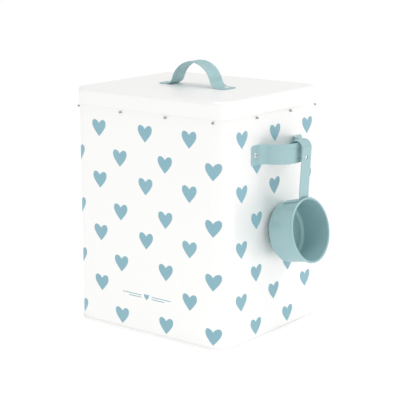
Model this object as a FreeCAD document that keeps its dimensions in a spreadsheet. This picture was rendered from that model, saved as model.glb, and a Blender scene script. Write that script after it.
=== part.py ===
import FreeCAD, Part
import math
import os
import Sketcher

# A rounded-rectangular sheet-steel storage tin with a slip-over lid, a bow handle on the lid, the
# same bow handle on the right side, and a scoop that hangs from it. Millimetres, +Z up, the origin
# at the middle of the underside, front towards -Y and the scoop's side towards +X.

SIZES = {
    # the tin
    "body_width": 210.0,
    "body_depth": 180.0,
    "corner_radius": 20.0,
    "sheet": 0.6,
    "lid_seam_level": 247.7,  # where the lid's skirt ends
    "hem_depth": 5.0,
    "lock_seam_width": 6.0,
    # the double seam and the base
    "seam_outset": 1.2,
    "seam_depth": 3.6,
    "base_step_inset": 18.0,
    "base_step_rise": 1.2,
    # the lid
    "lid_depth": 18.6,
    "lid_outset": 1.2,
    "lid_shoulder": 4.0,
    "lid_border": 10.0,
    "lid_panel_sink": 0.6,
    "lid_rest_gap": 1.2,
    # the bow handles
    "bow_rise": 27.9,
    "bow_radius": 28.4,
    "bow_bend_radius": 10.4,
    "bow_foot_length": 10.3,
    "bow_width": 21.5,
    "bow_sheet": 1.2,
    "bow_bead_radius": 0.9,
    "bow_bead_stand": 0.45,
    "bow_bead_inset": 3.6,
    "bow_corner_radius": 3.0,
    "side_bow_level": 204.75,
    "side_bow_offset": 4.0,
    # blind rivets
    "rivet_radius": 2.0,
    "rivet_head_radius": 3.1,
    "rivet_head_height": 1.1,
    "rivet_tail_radius": 2.8,
    "rivet_tail_length": 3.2,
    "rivet_end_distance": 6.5,
    "mandrel_radius": 1.0,
    "mandrel_head_radius": 1.9,
    "mandrel_head_height": 1.4,
    # lid stops
    "stop_level": 244.3,
    "stop_radius": 1.25,
    "stop_reach": 2.5,
    "stop_shank_radius": 0.9,
    "stop_clench_radius": 1.5,
    "stop_clench_height": 0.6,
    "stop_clench_relief": 0.1,
    "stop_start": -10.0,  # along the wall, from the middle of the front right corner
    "stop_corner_shift": -7.5,  # of the two that lie at the other ends of the front and right sides
    # the scoop
    "scoop_offset": 12.0,
    "scoop_tilt": 12.0,
    "cup_mouth_reach": 40.8,
    "cup_mouth_level": 120.9,
    "cup_depth": 35.1,
    "cup_mouth_radius": 33.9,
    "cup_base_radius": 32.6,
    "cup_base_round": 5.0,
    "cup_sheet": 0.8,
    "cup_rim_radius": 1.3,
    "strap_width": 17.2,
    "strap_sheet": 1.2,
    "strap_hole_radius": 2.25,
    "strap_hole_drop": 9.0,
    "strap_foot_length": 22.0,
    "strap_rim_setback": 1.0,
    "hook_radius": 8.0,
    "hook_tail": 8.0,
    "hook_clearance": 0.5,
}
STOP_COUNT = 12

doc = FreeCAD.newDocument("StorageTin")
sheet = doc.addObject("Spreadsheet::Sheet", "sizes")
for row, (name, number) in enumerate(SIZES.items(), start=1):
    sheet.set(f"A{row}", name)
    sheet.set(f"B{row}", str(number))
    sheet.setAlias(f"B{row}", name)
doc.recompute()

subparts = []


def size(expression):
    """The value of an expression in the sheet's names, in millimetres or degrees."""
    return float(sheet.evalExpression(expression))


def bound(expression):
    """The expression with each name pointed at the sheet, as other objects write it."""
    words = []
    word = ""
    for character in expression + " ":
        if character.isalnum() or character == "_":
            word += character
            continue
        words.append(f"sizes.{word}" if word in SIZES else word)
        words.append(character)
        word = ""
    return "".join(words).strip()


def bind(thing, target, expression):
    thing.setExpression(target, bound(expression))


def finish(thing, label):
    """Names a finished sub-part, so that it is written to a file of that name."""
    thing.Label = label
    subparts.append(thing)
    return thing


# ---------------------------------------------------------------- sketches and features


def plane_of(body, role):
    return next(plane for plane in body.Origin.OriginFeatures if plane.Role == role)


def add_sketch(body, name, role="XY_Plane", level=None):
    sketch = body.newObject("Sketcher::SketchObject", name)
    sketch.AttachmentSupport = [(plane_of(body, role), "")]
    sketch.MapMode = "FlatFace"
    if level:
        bind(sketch, "AttachmentOffset.Base.z", level)
    return sketch


def constrain(sketch, kind, *references, name=None, expression=None):
    """Adds a constraint; with an expression, its value comes from the sheet."""
    if expression is None:
        return sketch.addConstraint(Sketcher.Constraint(kind, *references))
    constraint = Sketcher.Constraint(kind, *references, size(expression))
    index = sketch.addConstraint(constraint)
    sketch.renameConstraint(index, name)
    bind(sketch, f"Constraints.{name}", expression)
    return index


def rounded_rectangle(sketch, width, depth, radius, prefix="outer"):
    """A rounded rectangle centred on the sketch's origin, sized by three expressions."""
    half_x = size(width) / 2
    half_y = size(depth) / 2
    bend = size(radius)
    first = sketch.GeometryCount
    corners = ((1, -1, -90), (1, 1, 0), (-1, 1, 90), (-1, -1, 180))
    for side_x, side_y, start in corners:
        centre = FreeCAD.Vector(side_x * (half_x - bend), side_y * (half_y - bend), 0)
        circle = Part.Circle(centre, FreeCAD.Vector(0, 0, 1), bend)
        begin = math.radians(start)
        sketch.addGeometry(Part.ArcOfCircle(circle, begin, begin + math.pi / 2))
    flat_x = half_x - bend
    flat_y = half_y - bend
    sides = (
        ((half_x, -flat_y), (half_x, flat_y)),
        ((flat_x, half_y), (-flat_x, half_y)),
        ((-half_x, flat_y), (-half_x, -flat_y)),
        ((-flat_x, -half_y), (flat_x, -half_y)),
    )
    for begin, end in sides:
        sketch.addGeometry(Part.LineSegment(FreeCAD.Vector(*begin, 0), FreeCAD.Vector(*end, 0)))
    for index in range(4):
        corner = first + index
        line = first + 4 + index
        next_corner = first + (index + 1) % 4
        constrain(sketch, "Tangent", corner, 2, line, 1)
        constrain(sketch, "Tangent", line, 2, next_corner, 1)
    for index in (4, 6):
        constrain(sketch, "Vertical", first + index)
    for index in (5, 7):
        constrain(sketch, "Horizontal", first + index)
    for index in range(3):
        constrain(sketch, "Equal", first + index, first + index + 1)
    constrain(sketch, "Symmetric", first, 3, first + 2, 3, -1, 1)
    constrain(sketch, "Radius", first, name=f"{prefix}_radius", expression=radius)
    constrain(
        sketch, "DistanceX", first + 6, 1, first + 4, 1, name=f"{prefix}_width", expression=width
    )
    constrain(
        sketch, "DistanceY", first + 7, 1, first + 5, 1, name=f"{prefix}_depth", expression=depth
    )


def rectangle(sketch, width, height, rise):
    """A rectangle centred on the sketch's Y axis, with its lower side at the expression rise."""
    half = size(width) / 2
    low = size(rise)
    high = low + size(height)
    corners = ((-half, low), (half, low), (half, high), (-half, high))
    points = [FreeCAD.Vector(*corner, 0) for corner in corners]
    for index in range(4):
        sketch.addGeometry(Part.LineSegment(points[index], points[(index + 1) % 4]))
    for index in range(4):
        constrain(sketch, "Coincident", index, 2, (index + 1) % 4, 1)
    constrain(sketch, "Vertical", 1)
    constrain(sketch, "Horizontal", 2)
    constrain(sketch, "Vertical", 3)
    constrain(sketch, "Symmetric", 0, 1, 0, 2, -2)
    constrain(sketch, "DistanceX", 0, 1, 0, 2, name="width", expression=width)
    constrain(sketch, "DistanceY", 1, 1, 1, 2, name="height", expression=height)
    place_point(sketch, 0, "Y", rise)


def place_point(sketch, index, direction, expression):
    """Holds the start of a line at a signed distance from the sketch's origin."""
    number = size(expression)
    if abs(number) < 1e-9:
        axis = -2 if direction == "X" else -1
        constrain(sketch, "PointOnObject", index, 1, axis)
        return
    name = f"{direction.lower()}_{index}"
    if number > 0:
        constrain(sketch, f"Distance{direction}", -1, 1, index, 1, name=name, expression=expression)
        return
    constrain(
        sketch, f"Distance{direction}", index, 1, -1, 1, name=name, expression=f"-({expression})"
    )


def plate_sketch(body, name, growth, level=None):
    """A rounded rectangle that follows the tin's outline, grown outwards by an expression."""
    sketch = add_sketch(body, name, level=level)
    outline = (f"body_width + 2 * ({growth})", f"body_depth + 2 * ({growth})")
    rounded_rectangle(sketch, *outline, f"corner_radius + ({growth})")
    return sketch


def ring_sketch(body, name, outer_growth, inner_growth, level=None):
    sketch = plate_sketch(body, name, outer_growth, level)
    outline = (f"body_width + 2 * ({inner_growth})", f"body_depth + 2 * ({inner_growth})")
    rounded_rectangle(sketch, *outline, f"corner_radius + ({inner_growth})", prefix="inner")
    return sketch


def pad(body, sketch, length, downwards=False):
    feature = body.newObject("PartDesign::Pad", f"{sketch.Name}_pad")
    feature.Profile = sketch
    bind(feature, "Length", length)
    feature.Reversed = downwards
    return feature


def pocket(body, sketch, length, upwards=False):
    """Cuts the sketch's outline into the body, and checks that it took something away."""
    before = body.Shape.Volume
    feature = body.newObject("PartDesign::Pocket", f"{sketch.Name}_pocket")
    feature.Profile = sketch
    bind(feature, "Length", length)
    feature.Reversed = upwards
    doc.recompute()
    if not body.Shape.Volume < before:
        raise RuntimeError(f"{feature.Name} cuts nothing")
    return feature


def edges_at(shape, level):
    """Names of the edges that lie whole at one level."""
    names = []
    for index, edge in enumerate(shape.Edges, start=1):
        box = edge.BoundBox
        if abs(box.ZMin - level) < 1e-4 and abs(box.ZMax - level) < 1e-4:
            names.append(f"Edge{index}")
    return names


def fillet(body, name, base, edges, radius):
    feature = body.newObject("PartDesign::Fillet", name)
    feature.Base = (base, edges)
    bind(feature, "Radius", radius)
    doc.recompute()
    return feature


def new_body(name):
    return doc.addObject("PartDesign::Body", name)


def cylinder(name, radius, length, placement, rise="0"):
    """A cylinder along the placement's own Z that starts at the expression rise."""
    tool = doc.addObject("Part::Cylinder", name)
    bind(tool, "Radius", radius)
    bind(tool, "Height", length)
    offset = FreeCAD.Placement(FreeCAD.Vector(0, 0, size(rise)), FreeCAD.Rotation())
    tool.Placement = placement * offset
    return tool


def drilled(label, base, tools):
    """The base with a hole for each tool."""
    group = doc.addObject("Part::Compound", f"{label}_holes")
    group.Links = tools
    cut = doc.addObject("Part::Cut", label)
    cut.Base = base
    cut.Tool = group
    return finish(cut, label)


# ---------------------------------------------------------------- places on the tin


def wall_length():
    straight = 2 * (size("body_width") + size("body_depth") - 4 * size("corner_radius"))
    return straight + 2 * math.pi * size("corner_radius")


def wall_place(distance, level):
    """The place on the wall's outer face at a distance round it, with Z standing out of the wall.

    The distance runs anticlockwise, seen from above, from the middle of the front right corner."""
    radius = size("corner_radius")
    half_x = size("body_width") / 2 - radius
    half_y = size("body_depth") / 2 - radius
    quarter = math.pi * radius / 2
    corners = ((half_x, -half_y, -90), (half_x, half_y, 0), (-half_x, half_y, 90), (-half_x, -half_y, 180))
    flats = (2 * half_y, 2 * half_x, 2 * half_y, 2 * half_x)
    along = (distance + quarter / 2) % wall_length()
    for (centre_x, centre_y, start), flat in zip(corners, flats):
        centre = FreeCAD.Vector(centre_x, centre_y, level)
        if along <= quarter:
            angle = start + math.degrees(along / radius)
            outward = FreeCAD.Vector(math.cos(math.radians(angle)), math.sin(math.radians(angle)), 0)
            break
        along -= quarter
        outward = FreeCAD.Vector(math.cos(math.radians(start + 90)), math.sin(math.radians(start + 90)), 0)
        if along <= flat:
            travel = FreeCAD.Vector(-outward.y, outward.x, 0)
            centre = centre + travel * along
            break
        along -= flat
    turn = FreeCAD.Rotation(FreeCAD.Vector(0, 0, 1), outward)
    return FreeCAD.Placement(centre + outward * radius, turn)


def lid_bow_place():
    top = size("lid_seam_level + lid_depth - lid_panel_sink")
    return FreeCAD.Placement(FreeCAD.Vector(0, 0, top), FreeCAD.Rotation())


def side_bow_place():
    """The bow's length runs along +Y, its width along +Z, and it stands out towards +X."""
    place = FreeCAD.Vector(size("body_width") / 2, size("side_bow_offset"), size("side_bow_level"))
    return FreeCAD.Placement(place, FreeCAD.Rotation(FreeCAD.Vector(1, 1, 1), 120))


def bow_half_length():
    """From the bow's middle to the end of a foot."""
    return bow_bend_centre() + size("bow_foot_length")


def bow_bend_centre():
    """How far out the centre of the bend between bow and foot lies."""
    drop = size("bow_radius - bow_rise")
    middle = size("bow_radius - bow_sheet / 2")
    bend = size("bow_bend_radius")
    height = size("bow_sheet / 2") + bend + drop
    return math.sqrt((middle + bend) ** 2 - height**2)


def rivet_places(bow_place):
    """The two rivets of a bow, where their heads meet its feet; Z points out of the head."""
    reach = bow_half_length() - size("rivet_end_distance")
    places = []
    for side in (-1, 1):
        spot = FreeCAD.Placement(FreeCAD.Vector(side * reach, 0, size("bow_sheet")), FreeCAD.Rotation())
        places.append(bow_place * spot)
    return places


STOP_PLACES = []
for stop_index in range(STOP_COUNT):
    stop_distance = size("stop_start") + stop_index * wall_length() / STOP_COUNT
    if stop_index % 6 == 3:
        stop_distance += size("stop_corner_shift")
    STOP_PLACES.append(wall_place(stop_distance, size("stop_level")))
SIDE_RIVETS = rivet_places(side_bow_place())
LID_RIVETS = rivet_places(lid_bow_place())


# ---------------------------------------------------------------- the tin


def make_body_wall():
    body = new_body("wall")
    top = "lid_seam_level + lid_depth - sheet - lid_panel_sink - lid_rest_gap"
    tube = ring_sketch(body, "wall_outline", "0", "-sheet", level="sheet")
    wall = pad(body, tube, f"{top} - sheet")
    # the top edge is folded inwards, so it is twice as thick
    hem = ring_sketch(body, "hem_outline", "-sheet", "-2 * sheet", level=f"{top} - hem_depth")
    pad(body, hem, "hem_depth")
    doc.recompute()
    fillet(body, "hem_round", body.Tip, edges_at(body.Shape, size(top)), "sheet * 0.8")
    # the lock seam that closes the wall, inside the middle of the back
    seam = add_sketch(body, "lock_seam_outline", level="seam_depth + sheet")
    rectangle(seam, "lock_seam_width", "sheet", "body_depth / 2 - 2 * sheet")
    pad(body, seam, f"{top} - hem_depth - seam_depth - sheet")
    doc.recompute()
    tools = []
    for index, place in enumerate(SIDE_RIVETS):
        depth = "bow_sheet + 2 * sheet"
        tools.append(cylinder(f"wall_rivet_hole_{index + 1}", "rivet_radius", depth, place, f"-({depth})"))
    for index, place in enumerate(STOP_PLACES):
        hole = f"wall_stop_hole_{index + 1:02d}"
        tools.append(cylinder(hole, "stop_shank_radius", "4 * sheet", place, "-2 * sheet"))
    return drilled("body_wall", body, tools)


def make_base_pan():
    body = new_body("base_pan")
    slab = plate_sketch(body, "pan_outline", "seam_outset")
    pad(body, slab, "seam_depth")
    step_growth = "-2 * sheet - base_step_inset"
    step = plate_sketch(body, "pan_step_outline", step_growth, level="seam_depth")
    pad(body, step, "base_step_rise")
    doc.recompute()
    # the wall's lower edge stands in this groove of the double seam
    groove = ring_sketch(body, "pan_groove_outline", "0", "-sheet", level="seam_depth")
    pocket(body, groove, "seam_depth - sheet")
    # the underside is pressed up, which leaves one sheet all over
    hollow = plate_sketch(body, "pan_hollow_outline", "-2 * sheet")
    pocket(body, hollow, "seam_depth - sheet", upwards=True)
    step_hollow = plate_sketch(
        body, "pan_step_hollow_outline", f"{step_growth} - sheet", level="seam_depth - sheet"
    )
    pocket(body, step_hollow, "base_step_rise", upwards=True)
    rim = [
        name
        for name in edges_at(body.Shape, 0) + edges_at(body.Shape, size("seam_depth"))
        if on_outline(body.Shape.getElement(name), size("seam_outset"))
    ]
    fillet(body, "pan_rim_round", body.Tip, rim, "seam_outset * 0.4")
    return finish(body, "base_pan")


def on_outline(edge, growth):
    """True if the edge lies on the tin's outline, grown by this much."""
    box = edge.BoundBox
    reach_x = size("body_width") / 2 + growth
    reach_y = size("body_depth") / 2 + growth
    far_x = max(abs(box.XMin), abs(box.XMax))
    far_y = max(abs(box.YMin), abs(box.YMax))
    return abs(far_x - reach_x) < 1e-3 or abs(far_y - reach_y) < 1e-3


# ---------------------------------------------------------------- the lid


def make_lid_shell():
    body = new_body("lid")
    outline = plate_sketch(body, "lid_outline", "lid_outset", level="lid_seam_level")
    pad(body, outline, "lid_depth")
    doc.recompute()
    top = size("lid_seam_level + lid_depth")
    fillet(body, "lid_shoulder_round", body.Tip, edges_at(body.Shape, top), "lid_shoulder")
    seam = size("lid_seam_level")
    open_face = next(
        f"Face{index}"
        for index, face in enumerate(body.Shape.Faces, start=1)
        if abs(face.BoundBox.ZMax - seam) < 1e-4
    )
    rounded = body.Tip
    shell = body.newObject("PartDesign::Thickness", "lid_thickness")
    shell.Base = (rounded, [open_face])
    bind(shell, "Value", "sheet")
    shell.Reversed = True
    doc.recompute()
    # inside the border the panel is pressed down, and stays one sheet thick
    growth = "lid_outset - lid_border"
    level = "lid_seam_level + lid_depth"
    pressed = plate_sketch(body, "lid_pressed_outline", f"{growth} + sheet", level=level)
    pad(body, pressed, "lid_panel_sink + sheet", downwards=True)
    doc.recompute()
    panel = plate_sketch(body, "lid_panel_outline", growth, level=level)
    pocket(body, panel, "lid_panel_sink")
    tools = []
    for index, place in enumerate(LID_RIVETS):
        depth = "bow_sheet + 2 * sheet"
        tools.append(cylinder(f"lid_rivet_hole_{index + 1}", "rivet_radius", depth, place, f"-({depth})"))
    return drilled("lid_shell", body, tools)


# ---------------------------------------------------------------- bow handles


def bow_path(body, name):
    """The bow's middle line: foot, bend, bow, bend, foot, in the XZ plane."""
    sketch = add_sketch(body, name, role="XZ_Plane")
    half_sheet = size("bow_sheet") / 2
    middle = size("bow_radius") - half_sheet
    drop = size("bow_radius - bow_rise")
    bend = size("bow_bend_radius")
    centre_x = bow_bend_centre()
    centre_y = half_sheet + bend
    lean = math.atan2(centre_y + drop, centre_x)
    up = FreeCAD.Vector(0, 0, 1)
    end = bow_half_length()
    left_foot = (FreeCAD.Vector(-end, half_sheet, 0), FreeCAD.Vector(-centre_x, half_sheet, 0))
    right_foot = (FreeCAD.Vector(centre_x, half_sheet, 0), FreeCAD.Vector(end, half_sheet, 0))
    left_bend = Part.Circle(FreeCAD.Vector(-centre_x, centre_y, 0), up, bend)
    right_bend = Part.Circle(FreeCAD.Vector(centre_x, centre_y, 0), up, bend)
    bow = Part.Circle(FreeCAD.Vector(0, -drop, 0), up, middle)
    sketch.addGeometry(Part.LineSegment(*left_foot))
    sketch.addGeometry(Part.ArcOfCircle(left_bend, -math.pi / 2, -lean))
    sketch.addGeometry(Part.ArcOfCircle(bow, lean, math.pi - lean))
    sketch.addGeometry(Part.ArcOfCircle(right_bend, math.pi + lean, math.pi * 1.5))
    sketch.addGeometry(Part.LineSegment(*right_foot))
    constrain(sketch, "Tangent", 0, 2, 1, 1)
    constrain(sketch, "Tangent", 1, 2, 2, 2)
    constrain(sketch, "Tangent", 2, 1, 3, 1)
    constrain(sketch, "Tangent", 3, 2, 4, 1)
    constrain(sketch, "Horizontal", 0)
    constrain(sketch, "Horizontal", 4)
    constrain(sketch, "PointOnObject", 2, 3, -2)
    constrain(sketch, "Equal", 1, 3)
    constrain(sketch, "Equal", 0, 4)
    constrain(sketch, "Radius", 1, name="bend", expression="bow_bend_radius")
    constrain(sketch, "Radius", 2, name="bow", expression="bow_radius - bow_sheet / 2")
    constrain(sketch, "DistanceX", 4, 1, 4, 2, name="foot", expression="bow_foot_length")
    constrain(sketch, "DistanceY", -1, 1, 0, 1, name="seat", expression="bow_sheet / 2")
    constrain(
        sketch, "DistanceY", 2, 3, -1, 1, name="drop", expression="bow_radius - bow_rise"
    )
    return sketch


def bead_sketch(body, name):
    """The two beads' round sections at the bow's crest, and the axis that they turn about."""
    sketch = add_sketch(body, name, role="YZ_Plane")
    inset = "bow_width / 2 - bow_bead_inset"
    level = "bow_rise + bow_bead_stand - bow_bead_radius"
    up = FreeCAD.Vector(0, 0, 1)
    for side in (-1, 1):
        centre = FreeCAD.Vector(side * size(inset), size(level), 0)
        sketch.addGeometry(Part.Circle(centre, up, size("bow_bead_radius")))
    constrain(sketch, "Radius", 0, name="bead_radius", expression="bow_bead_radius")
    constrain(sketch, "Equal", 0, 1)
    constrain(sketch, "Symmetric", 0, 3, 1, 3, -2)
    constrain(sketch, "DistanceX", -1, 1, 1, 3, name="bead_place", expression=inset)
    constrain(sketch, "DistanceY", -1, 1, 1, 3, name="bead_level", expression=level)
    drop = size("bow_radius - bow_rise")
    ends = (FreeCAD.Vector(-1, -drop, 0), FreeCAD.Vector(1, -drop, 0))
    sketch.addGeometry(Part.LineSegment(*ends), True)
    constrain(sketch, "Symmetric", 2, 1, 2, 2, -2)
    constrain(sketch, "DistanceX", 2, 1, 2, 2, name="axis_length", expression="bow_sheet")
    constrain(
        sketch, "DistanceY", 2, 1, -1, 1, name="axis_drop", expression="bow_radius - bow_rise"
    )
    return sketch


def make_bow(label, place):
    body = new_body(f"{label}_strap")
    path = bow_path(body, f"{label}_path")
    section = add_sketch(body, f"{label}_section", role="YZ_Plane")
    centre_line = -(bow_half_length())
    section.AttachmentOffset = FreeCAD.Placement(
        FreeCAD.Vector(0, 0, centre_line), FreeCAD.Rotation()
    )
    rectangle(section, "bow_width", "bow_sheet", "0")
    strap = body.newObject("PartDesign::AdditivePipe", f"{label}_sweep")
    strap.Profile = section
    strap.Spine = path
    doc.recompute()
    # the corners of the feet are rounded
    reach = bow_half_length()
    ends = [
        f"Edge{index}"
        for index, edge in enumerate(body.Shape.Edges, start=1)
        if abs(edge.BoundBox.ZLength - size("bow_sheet")) < 1e-4
        and abs(abs(edge.BoundBox.XMin) - reach) < 1e-3
        and edge.BoundBox.XLength < 1e-4
        and edge.BoundBox.YLength < 1e-4
    ]
    fillet(body, f"{label}_corner_round", body.Tip, ends, "bow_corner_radius")
    # two beads stand up along the strap, between the feet
    beads = bead_sketch(body, f"{label}_bead_sections")
    feature = body.newObject("PartDesign::Revolution", f"{label}_beads")
    feature.Profile = beads
    feature.ReferenceAxis = (beads, ["Axis0"])
    feature.Midplane = True
    feature.Angle = 2 * bow_bead_reach()
    doc.recompute()
    body.Placement = place
    holes = []
    for index, spot in enumerate(rivet_places(place)):
        name = f"{label}_foot_hole_{index + 1}"
        holes.append(cylinder(name, "rivet_radius", "3 * bow_sheet", spot, "-2 * bow_sheet"))
    return drilled(label, body, holes)


def bow_bead_reach():
    """The angle from the crest at which a bead ends, just short of the bend."""
    drop = size("bow_radius - bow_rise")
    height = size("bow_sheet / 2 + bow_bend_radius") + drop
    return 90 - math.degrees(math.atan2(height, bow_bend_centre())) - 6


# ---------------------------------------------------------------- rivets, mandrels and stops


def turned(label, outline, place):
    """A solid turned about its own Z from an outline of (radius, height) expressions."""
    body = new_body(label)
    sketch = add_sketch(body, f"{label}_outline", role="XZ_Plane")
    points = [FreeCAD.Vector(size(radius), size(height), 0) for radius, height in outline]
    count = len(points)
    for index in range(count):
        sketch.addGeometry(Part.LineSegment(points[index], points[(index + 1) % count]))
    for index in range(count):
        constrain(sketch, "Coincident", index, 2, (index + 1) % count, 1)
    for index, (radius, height) in enumerate(outline):
        place_point(sketch, index, "X", radius)
        place_point(sketch, index, "Y", height)
    feature = body.newObject("PartDesign::Revolution", f"{label}_turning")
    feature.Profile = sketch
    feature.ReferenceAxis = (sketch, ["V_Axis"])
    feature.Angle = 360
    body.Placement = place
    doc.recompute()
    return finish(body, label)


def make_rivet(label, place, mandrel_label):
    """A blind rivet: domed head outside, a swollen tail behind the sheet, and its mandrel stub."""
    grip = "bow_sheet + sheet"
    outline = (
        ("mandrel_radius", "rivet_head_height"),
        ("mandrel_radius", f"-({grip} + rivet_tail_length)"),
        ("rivet_tail_radius * 0.8", f"-({grip} + rivet_tail_length)"),
        ("rivet_tail_radius", f"-({grip} + rivet_tail_length * 0.6)"),
        ("rivet_tail_radius", f"-({grip} + rivet_tail_length * 0.2)"),
        ("rivet_radius + 0.3 * (rivet_tail_radius - rivet_radius)", f"-({grip})"),
        ("rivet_radius", f"-({grip})"),
        ("rivet_radius", "0"),
        ("rivet_head_radius", "0"),
        ("rivet_head_radius", "rivet_head_height * 0.3"),
        ("rivet_head_radius * 0.8", "rivet_head_height * 0.75"),
        ("rivet_head_radius * 0.5", "rivet_head_height"),
    )
    turned(label, outline, place)
    stub = (
        ("0", "rivet_head_height * 0.4"),
        ("0", f"-({grip} + rivet_tail_length + mandrel_head_height)"),
        ("mandrel_head_radius * 0.6", f"-({grip} + rivet_tail_length + mandrel_head_height)"),
        ("mandrel_head_radius", f"-({grip} + rivet_tail_length + mandrel_head_height * 0.5)"),
        ("mandrel_head_radius", f"-({grip} + rivet_tail_length)"),
        ("mandrel_radius", f"-({grip} + rivet_tail_length)"),
        ("mandrel_radius", "rivet_head_height * 0.3"),
        ("mandrel_radius * 0.6", "rivet_head_height * 0.4"),
    )
    turned(mandrel_label, stub, place)


def make_stop(label, place):
    """A pin clenched through the wall, with a round end that stands out under the lid."""
    outline = (
        ("0", "stop_reach"),
        ("0", "-(sheet + stop_clench_relief + stop_clench_height)"),
        ("stop_clench_radius * 0.8", "-(sheet + stop_clench_relief + stop_clench_height)"),
        ("stop_clench_radius", "-(sheet + stop_clench_relief)"),
        ("stop_shank_radius", "-(sheet + stop_clench_relief)"),
        ("stop_shank_radius", "0"),
        ("stop_radius", "0"),
        ("stop_radius", "stop_reach * 0.7"),
        ("stop_radius * 0.6", "stop_reach * 0.95"),
    )
    turned(label, outline, place)


# ---------------------------------------------------------------- the scoop


def scoop_place():
    """The cup's own frame: its axis is Z, towards the mouth, with the origin at its base."""
    tilt = size("scoop_tilt")
    turn = FreeCAD.Rotation(FreeCAD.Vector(0, 1, 0), 90 - tilt)
    mouth = FreeCAD.Vector(
        size("body_width / 2 + cup_mouth_reach"), size("scoop_offset"), size("cup_mouth_level")
    )
    axis = turn.multVec(FreeCAD.Vector(0, 0, 1))
    return FreeCAD.Placement(mouth - axis * size("cup_depth"), turn)


def cone(name, base_radius, mouth_radius, length, place, rise="0"):
    solid = doc.addObject("Part::Cone", name)
    bind(solid, "Radius1", base_radius)
    bind(solid, "Radius2", mouth_radius)
    bind(solid, "Height", length)
    offset = FreeCAD.Placement(FreeCAD.Vector(0, 0, size(rise)), FreeCAD.Rotation())
    solid.Placement = place * offset
    return solid


def boolean(kind, name, base, tool):
    result = doc.addObject(f"Part::{kind}", name)
    result.Base = base
    result.Tool = tool
    return result


def rounded_base(name, base, radius):
    """The solid with the edge round its base filleted."""
    doc.recompute()
    centre = base.Placement.Base
    index = next(
        number
        for number, edge in enumerate(base.Shape.Edges, start=1)
        if edge.Closed and (edge.Curve.Center - centre).Length < 1e-4
    )
    result = doc.addObject("Part::Fillet", name)
    result.Base = base
    bend = size(radius)
    result.Edges = [(index, bend, bend)]
    return result


def make_scoop_cup():
    place = scoop_place()
    outer = cone("cup_outer", "cup_base_radius", "cup_mouth_radius", "cup_depth", place)
    inner = cone(
        "cup_inner",
        "cup_base_radius - cup_sheet",
        "cup_mouth_radius - cup_sheet",
        "cup_depth",
        place,
        rise="cup_sheet",
    )
    skin = boolean(
        "Cut",
        "cup_skin",
        rounded_base("cup_outer_round", outer, "cup_base_round"),
        rounded_base("cup_inner_round", inner, "cup_base_round - cup_sheet"),
    )
    rim = doc.addObject("Part::Torus", "cup_rim")
    bind(rim, "Radius1", "cup_mouth_radius + cup_rim_radius * 0.35")
    bind(rim, "Radius2", "cup_rim_radius")
    rise = size("cup_depth - cup_rim_radius")
    rim.Placement = place * FreeCAD.Placement(FreeCAD.Vector(0, 0, rise), FreeCAD.Rotation())
    return finish(boolean("Fuse", "scoop_cup", skin, rim), "scoop_cup")


def hook_frame():
    """Where the hook's centre lies: over the bow's strap, clear of its top edge."""
    thickest = size("bow_sheet + bow_bead_stand")
    near_edge = size("scoop_offset - strap_width / 2 - side_bow_offset")
    far_edge = size("scoop_offset + strap_width / 2 - side_bow_offset")
    drop = size("bow_radius - bow_rise")
    outer = size("bow_radius + bow_bead_stand")
    inner = size("bow_radius - bow_sheet")
    offsets = [near_edge, far_edge]
    if near_edge < 0 < far_edge:
        offsets.append(0)
    reaches = [math.sqrt(outer**2 - offset**2) - drop for offset in offsets]
    lows = [math.sqrt(inner**2 - offset**2) - drop for offset in offsets]
    middle = (max(reaches) + min(lows)) / 2
    half_span = (max(reaches) - min(lows)) / 2
    top_edge = size("side_bow_level + bow_width / 2")
    if half_span + thickest / 2 >= size("hook_radius"):
        raise ValueError("the hook is too narrow for the bow")
    rise = math.sqrt(size("hook_radius") ** 2 - half_span**2)
    centre_z = top_edge + size("hook_clearance") - rise
    return size("body_width") / 2 + middle, centre_z


def strap_behind_rim():
    """How far behind the mouth the front of the strap comes down, as an expression."""
    return "2 * cup_rim_radius + strap_rim_setback"


def strap_line():
    """The strap's middle line: its top, where the hook begins, and its way down and outwards."""
    radius = size("hook_radius + strap_sheet / 2")
    hook_x, hook_z = hook_frame()
    hook = FreeCAD.Vector(hook_x, size("scoop_offset"), hook_z)
    # it comes down on the cup's side, just behind the rim
    behind = size(f"{strap_behind_rim()} + strap_sheet / 2")
    taper = size("cup_mouth_radius - cup_base_radius") / size("cup_depth")
    side_radius = size("cup_mouth_radius") - taper * behind
    landing = scoop_place().multVec(FreeCAD.Vector(-side_radius, 0, size("cup_depth") - behind))
    reach = hook - landing
    lean = math.atan2(reach.x, reach.z) + math.asin(radius / reach.Length)
    down = FreeCAD.Vector(-math.sin(lean), 0, -math.cos(lean))
    outward = FreeCAD.Vector(math.cos(lean), 0, -math.sin(lean))
    top = hook + outward * radius
    return hook, top, landing, down, outward


def make_strap():
    """The flat strip: tail, hook and strap, which runs on a little into the cup's side."""
    hook, top, landing, down, outward = strap_line()
    radius = size("hook_radius + strap_sheet / 2")
    overrun = size("strap_width") ** 2 / size("4 * cup_mouth_radius") + size("2 * strap_sheet")
    tail_top = hook - outward * radius
    tail_end = tail_top + down * size("hook_tail")
    path = Part.Wire(
        [
            Part.LineSegment(tail_end, tail_top).toShape(),
            Part.Arc(tail_top, hook - down * radius, top).toShape(),
            Part.LineSegment(top, landing + down * overrun).toShape(),
        ]
    )
    across = FreeCAD.Vector(0, size("strap_width") / 2, 0)
    depth = outward * size("strap_sheet / 2")
    corners = [
        tail_end - across - depth,
        tail_end + across - depth,
        tail_end + across + depth,
        tail_end - across + depth,
    ]
    section = Part.makePolygon(corners + corners[:1])
    strap = doc.addObject("Part::Feature", "strap_blank")
    strap.Shape = path.makePipeShell([section], True, False)
    return strap


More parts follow.
